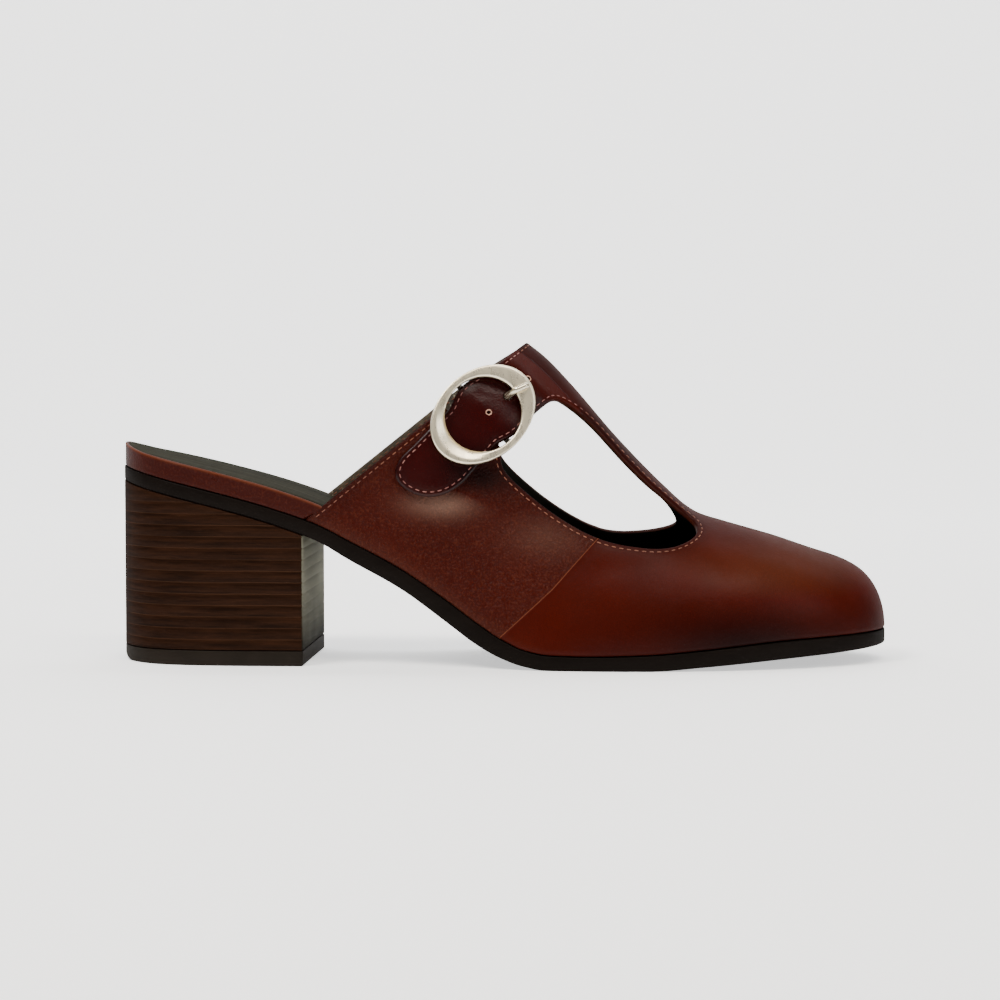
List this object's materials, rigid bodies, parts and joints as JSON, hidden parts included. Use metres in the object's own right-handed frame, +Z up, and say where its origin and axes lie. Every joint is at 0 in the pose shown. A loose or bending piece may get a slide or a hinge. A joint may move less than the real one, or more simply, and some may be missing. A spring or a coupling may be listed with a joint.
{
  "type": "heeled mule",
  "caption": "Brown leather heeled mule with side cut-outs, a T-bar, an oval buckle and a stacked block heel; right foot.",
  "frame": {"origin": "middle of the shoe's outline, on the floor under the heel and the ball", "axes": "+X from the heel to the toe, +Y to the medial side, -Y to the lateral side with the buckle, +Z up"},
  "size_m": [0.2386, 0.0763, 0.0991],
  "materials": {
    "sole_edge": "dark waxed sole leather",
    "stacked_heel": "stacked dark brown leather layers",
    "lift_rubber": "matt black rubber",
    "rim_leather": "brown leather wrapped round the board's edge",
    "sock_leather": "dark olive grey matt lining leather",
    "brown_leather": "polished red-brown leather with a fine grain",
    "nickel": "soft polished nickel",
    "lining_leather": "dark lining leather"
  },
  "bodies": {
    "root": {"outsole": "sole_edge", "heel": "stacked_heel", "heel_top_piece": "lift_rubber", "insole_rim": "rim_leather", "insole_sock": "sock_leather", "upper": "brown_leather", "buckle_frame": "nickel", "buckle_prong": "nickel", "buckle_loop": "lining_leather"}
  },
  "joints": []
}
